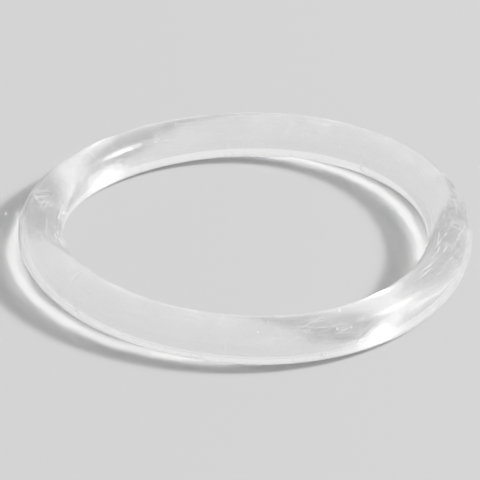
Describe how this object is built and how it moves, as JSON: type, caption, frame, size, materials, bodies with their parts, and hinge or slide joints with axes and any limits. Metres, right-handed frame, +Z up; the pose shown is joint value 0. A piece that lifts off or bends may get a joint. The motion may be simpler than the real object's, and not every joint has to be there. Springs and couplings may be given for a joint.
{
  "type": "bangle bracelet",
  "caption": "Rigid clear acrylic bangle: one round 8 mm bar bent into a closed ring, with its two ends cemented together.",
  "frame": {"origin": "centre of the wrist opening, on the surface that the ring lies on", "axes": "+Z up, along the axis of the wrist opening; +X and +Y lie in the plane of the ring"},
  "size_m": [0.079, 0.079, 0.008],
  "materials": {
    "clear_acrylic": "polished clear colourless acrylic with fine wear scratches",
    "acrylic_cement": "cured clear cement, slightly cloudy, with tiny bubbles"
  },
  "bodies": {
    "root": {"acrylic_bar": "clear_acrylic", "cement_joint": "acrylic_cement"}
  },
  "joints": []
}
